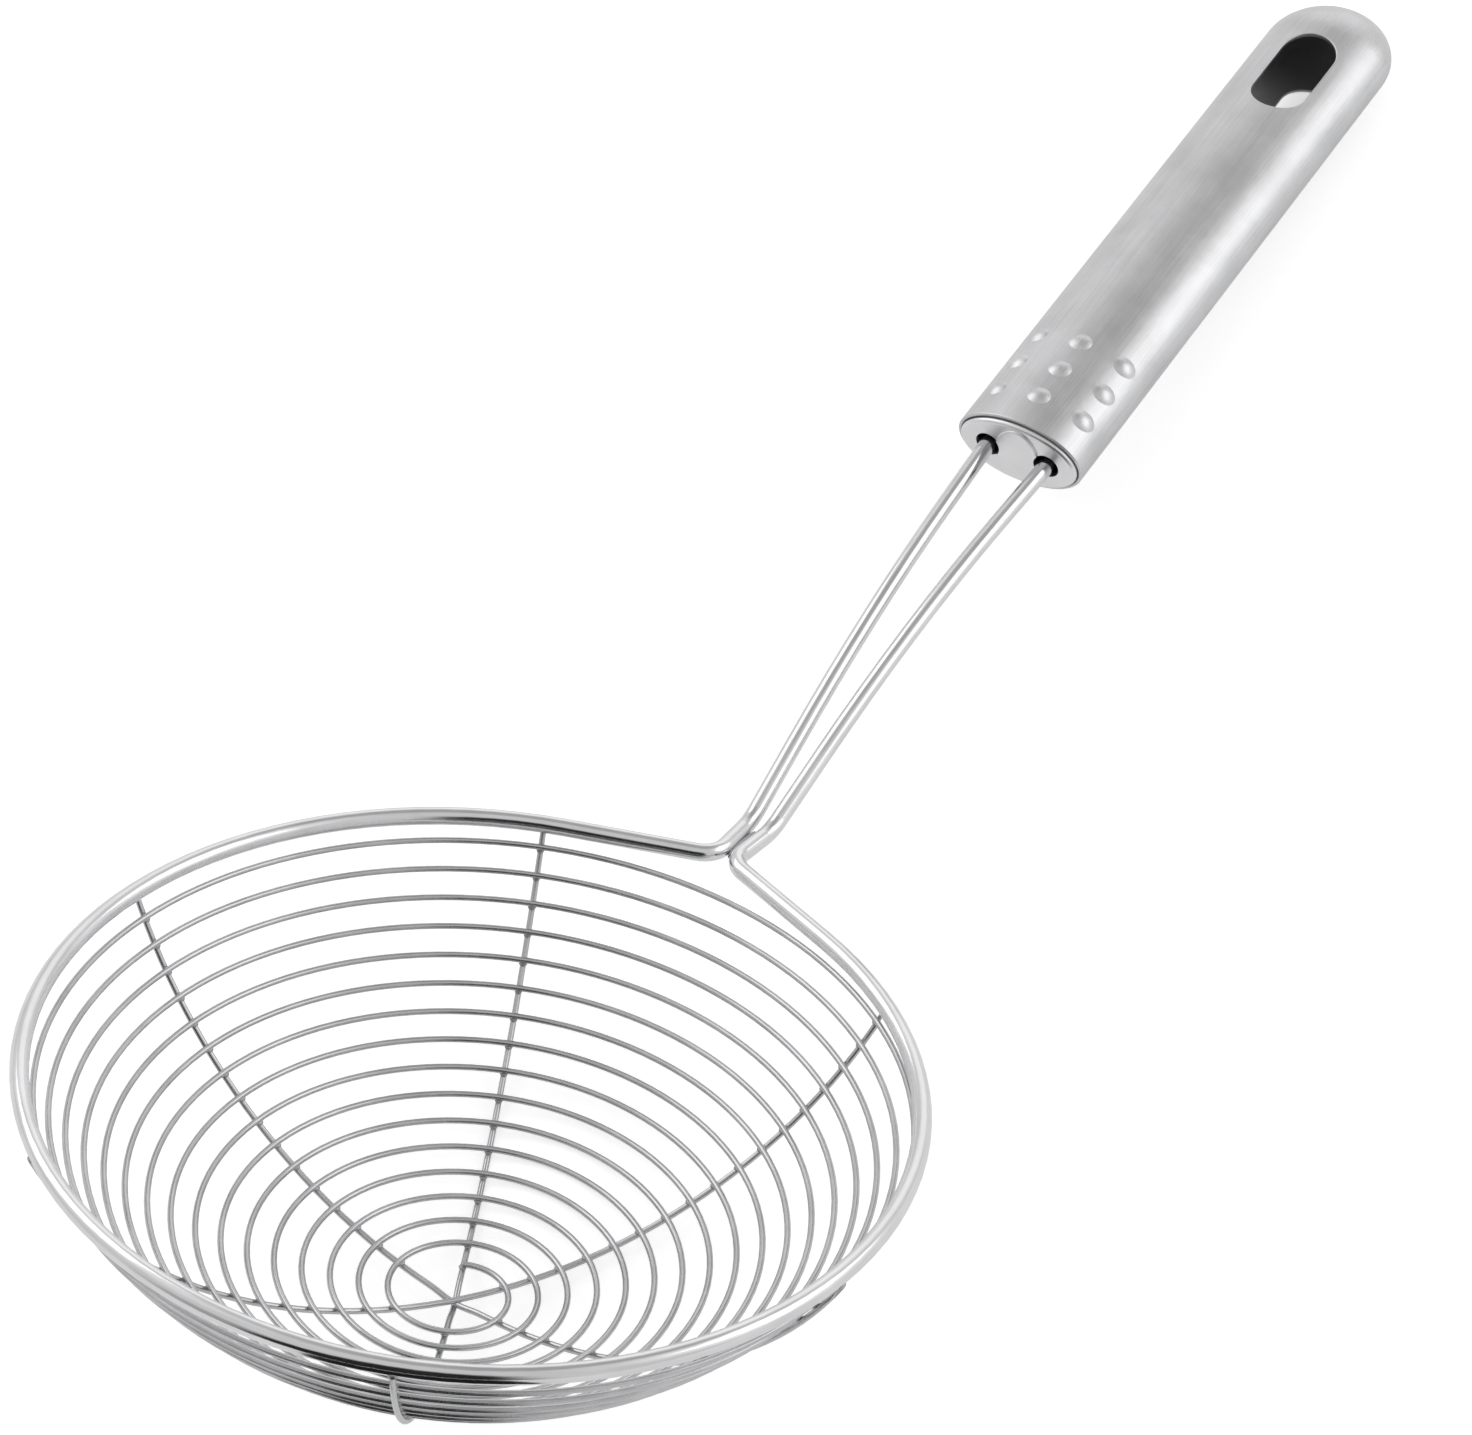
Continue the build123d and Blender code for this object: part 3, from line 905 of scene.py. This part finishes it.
class SKIMMER_OT_set_stage(Operator):
    """Lay the pale floor, hang the soft lights and set the camera"""

    bl_idname = "skimmer.set_stage"
    bl_label = "Set Stage"

    def execute(self, context):
        studio = context.scene.skimmer_studio
        self.lay_floor(studio)
        self.paint_surroundings(context, studio)
        aim = Vector(studio.camera_aim) * MM
        hang_light("key_light", KEY_PLACE, aim, KEY_SIZE, studio.key_power)
        hang_light("fill_light", FILL_PLACE, aim, FILL_SIZE, studio.fill_power)
        self.lay_flag()
        self.set_camera(context, studio)
        context.scene.view_settings.view_transform = "Standard"
        return {"FINISHED"}

    def lay_floor(self, studio):
        """A wide pale floor, which gives off light of its own where the camera or the steel sees it."""
        material = new_dull("pale_floor", studio.floor_color)
        tree = material.node_tree
        shader = tree.nodes["Principled BSDF"]
        shader.inputs["Emission Color"].default_value = (1, 1, 1, 1)
        rays = tree.nodes.new("ShaderNodeLightPath").outputs
        seen = maths(
            tree, "MULTIPLY_ADD", rays["Is Glossy Ray"], studio.floor_mirrored, rays["Is Camera Ray"]
        )
        glow = maths(tree, "MULTIPLY", seen, studio.floor_glow)
        tree.links.new(glow, shader.inputs["Emission Strength"])
        mesh = bmesh.new()
        bmesh.ops.create_grid(mesh, x_segments=1, y_segments=1, size=studio.floor_size / 2)
        floor = new_piece("floor", mesh, material)

    def lay_flag(self):
        """A black card on the floor before the basket, which only the steel's reflections see."""
        basket = bpy.context.scene.skimmer_basket
        mesh = bmesh.new()
        corners = [
            (basket.middle[0] + reach * math.cos(math.radians(turn)),
             basket.middle[1] + reach * math.sin(math.radians(turn)), FLAG_HEIGHT)
            for reach, turns in FLAG_EDGES for turn in turns
        ]
        mesh.faces.new([mesh.verts.new(Vector(corner) * MM) for corner in corners])
        flag = new_piece("flag", mesh, new_dull("black_card", FLAG_COLOR))
        for kind in ("camera", "diffuse", "transmission", "shadow"):
            setattr(flag, f"visible_{kind}", False)

    def paint_surroundings(self, context, studio):
        """Pale surroundings with soft lighter and darker patches."""
        world = bpy.data.worlds.new("surroundings")
        world.use_nodes = True
        context.scene.world = world
        tree = world.node_tree
        tree.nodes.clear()
        output = tree.nodes.new("ShaderNodeOutputWorld")
        light = tree.nodes.new("ShaderNodeBackground")
        light.inputs["Strength"].default_value = studio.sky_strength
        tree.links.new(light.outputs[0], output.inputs["Surface"])
        way = tree.nodes.new("ShaderNodeTexCoord").outputs["Generated"]
        total = None
        for azimuth, elevation, inner, outer, value in SKY_PATCHES:
            patch = sky_patch(tree, way, azimuth, elevation, inner, outer, value)
            total = patch if total is None else maths(tree, "ADD", total, patch)
        total = maths(tree, "MAXIMUM", maths(tree, "ADD", total, SKY_LEVEL), SKY_LEAST)
        tree.links.new(total, light.inputs["Color"])

    def set_camera(self, context, studio):
        """The camera, turned to its aim and leaned by its roll."""
        data = bpy.data.cameras.new("camera")
        data.lens = studio.camera_lens
        data.sensor_width = SENSOR_WIDTH
        data.clip_end = SIGHT
        camera = bpy.data.objects.new("camera", data)
        context.scene.collection.objects.link(camera)
        place = Vector(studio.camera_place) * MM
        aim = Vector(studio.camera_aim) * MM
        turn = (aim - place).to_track_quat("-Z", "Y").to_matrix().to_4x4()
        camera.matrix_world = Matrix.Translation(place) @ turn @ Matrix.Rotation(-studio.camera_roll, 4, "Z")
        context.scene.camera = camera


def new_dull(name, color):
    """A dull material of one colour, for the floor and the card."""
    material = bpy.data.materials.new(name)
    material.use_nodes = True
    shader = material.node_tree.nodes["Principled BSDF"]
    shader.inputs["Base Color"].default_value = (*color, 1)
    shader.inputs["Roughness"].default_value = DULL_ROUGHNESS
    shader.inputs["Specular IOR Level"].default_value = 0.0
    return material


def sky_patch(tree, way, azimuth, elevation, inner, outer, value):
    """A soft round patch of the surroundings: its direction, its two half angles and its brightness."""
    turn = math.radians(azimuth)
    rise = math.radians(elevation)
    middle = (math.cos(turn) * math.cos(rise), math.sin(turn) * math.cos(rise), math.sin(rise))
    near = add_node(tree, "ShaderNodeVectorMath", operation="DOT_PRODUCT")
    tree.links.new(way, near.inputs[0])
    near.inputs[1].default_value = middle
    patch = add_node(
        tree, "ShaderNodeMapRange", interpolation_type="SMOOTHSTEP",
        From_Min=math.cos(math.radians(outer)), From_Max=math.cos(math.radians(inner)),
        To_Min=0.0, To_Max=value,
    )
    tree.links.new(near.outputs["Value"], patch.inputs["Value"])
    return patch.outputs[0]


def hang_light(name, place, aim, size, power):
    """A soft rectangular light that faces its aim."""
    data = bpy.data.lights.new(name, "AREA")
    data.shape = "RECTANGLE"
    data.size, data.size_y = size
    data.energy = power
    light = bpy.data.objects.new(name, data)
    bpy.context.scene.collection.objects.link(light)
    light.location = place
    light.rotation_euler = (aim - Vector(place)).to_track_quat("-Z", "Y").to_euler()


# Panel

OPERATORS = (
    SKIMMER_OT_finish_rod,
    SKIMMER_OT_finish_wires,
    SKIMMER_OT_finish_handle,
    SKIMMER_OT_finish_cap,
    SKIMMER_OT_add_crossing_welds,
    SKIMMER_OT_add_rim_welds,
    SKIMMER_OT_add_neck_weld,
    SKIMMER_OT_set_stage,
)

SETTINGS = {
    "skimmer_basket": SkimmerBasket,
    "skimmer_handle": SkimmerHandle,
    "skimmer_welds": SkimmerWelds,
    "skimmer_finish": SkimmerFinish,
    "skimmer_studio": SkimmerStudio,
}


class SKIMMER_PT_dresser(Panel):
    """Lists the skimmer's steps and settings"""

    bl_idname = "SKIMMER_PT_dresser"
    bl_label = "Spider Skimmer"
    bl_space_type = "VIEW_3D"
    bl_region_type = "UI"
    bl_category = "Skimmer"

    def draw(self, context):
        for step in OPERATORS:
            self.layout.operator(step.bl_idname)
        for name, group in SETTINGS.items():
            box = self.layout.box()
            for prop in group.__annotations__:
                box.prop(getattr(context.scene, name), prop)


def register():
    for group in SETTINGS.values():
        bpy.utils.register_class(group)
    for name, group in SETTINGS.items():
        setattr(bpy.types.Scene, name, PointerProperty(type=group))
    for step in OPERATORS:
        bpy.utils.register_class(step)
    bpy.utils.register_class(SKIMMER_PT_dresser)


def unregister():
    bpy.utils.unregister_class(SKIMMER_PT_dresser)
    for step in reversed(OPERATORS):
        bpy.utils.unregister_class(step)
    for name in SETTINGS:
        delattr(bpy.types.Scene, name)
    for group in SETTINGS.values():
        bpy.utils.unregister_class(group)


def main():
    register()
    for step in OPERATORS:
        section, action = step.bl_idname.split(".")
        getattr(getattr(bpy.ops, section), action)()


if __name__ == "__main__":
    main()
